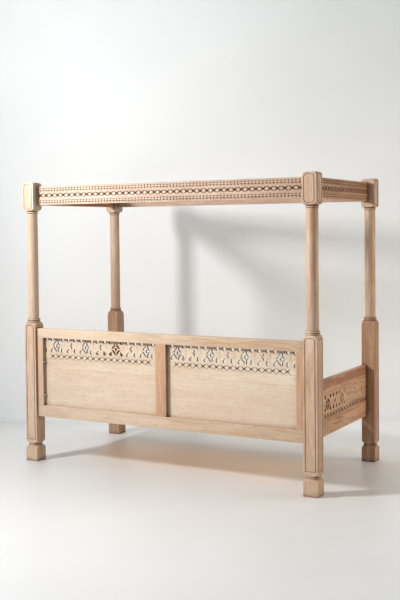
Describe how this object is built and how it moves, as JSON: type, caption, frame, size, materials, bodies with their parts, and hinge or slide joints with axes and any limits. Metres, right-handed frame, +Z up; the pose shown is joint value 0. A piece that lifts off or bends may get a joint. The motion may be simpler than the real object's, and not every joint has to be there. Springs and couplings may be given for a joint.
{
  "type": "four poster canopy daybed",
  "caption": "Full-size daybed with square legs, round turned columns, a pierced panelled side board, pierced end boards, a carved canopy frame and a slatted deck.",
  "frame": {"origin": "on the floor at the middle of the four posts", "axes": "+X along the length, -Y towards the tall carved board, +Z up"},
  "size_m": [2.15, 1.095, 1.9],
  "materials": {
    "post_wood": "pale bleached hardwood, unfinished look, matte",
    "board_wood": "pale bleached hardwood, unfinished look, matte",
    "panel_wood": "pale bleached hardwood, unfinished look, matte",
    "end_wood": "pale bleached hardwood, unfinished look, matte",
    "canopy_wood": "pale bleached hardwood, unfinished look, matte",
    "deck_wood": "plain sawn softwood, matte",
    "dowel_wood": "plain beech",
    "zinc_steel": "zinc plated",
    "dark_steel": "black satin",
    "brass": "turned brass"
  },
  "bodies": {
    "root": {"leg_front_left": "post_wood", "leg_front_right": "post_wood", "leg_back_left": "post_wood", "leg_back_right": "post_wood", "column_front_left": "post_wood", "column_front_right": "post_wood", "column_back_left": "post_wood", "column_back_right": "post_wood", "column_studs": "zinc_steel", "front_top_member": "board_wood", "front_bottom_member": "board_wood", "front_left_stile": "board_wood", "front_right_stile": "board_wood", "front_muntin": "board_wood", "left_carved_plank": "panel_wood", "right_carved_plank": "panel_wood", "left_plain_plank": "panel_wood", "right_plain_plank": "panel_wood", "front_bolts": "zinc_steel", "front_washers": "zinc_steel", "front_inserts": "brass", "board_dowels": "dowel_wood", "left_end_top_plank": "end_wood", "left_end_carved_plank": "end_wood", "left_end_bottom_plank": "end_wood", "right_end_top_plank": "end_wood", "right_end_carved_plank": "end_wood", "right_end_bottom_plank": "end_wood", "low_rail": "end_wood", "low_rail_brackets": "dark_steel", "bracket_screws": "zinc_steel", "canopy_front_rail": "canopy_wood", "canopy_back_rail": "canopy_wood", "canopy_left_rail": "canopy_wood", "canopy_right_rail": "canopy_wood", "canopy_screws": "zinc_steel", "front_cleat": "deck_wood", "back_cleat": "deck_wood", "cleat_screws": "zinc_steel", "slat_1": "deck_wood", "slat_2": "deck_wood", "slat_3": "deck_wood", "slat_4": "deck_wood", "slat_5": "deck_wood", "slat_6": "deck_wood", "slat_7": "deck_wood", "slat_8": "deck_wood", "slat_9": "deck_wood", "slat_10": "deck_wood", "slat_11": "deck_wood", "slat_12": "deck_wood", "slat_13": "deck_wood", "slat_14": "deck_wood", "slat_screws": "zinc_steel"}
  },
  "joints": []
}
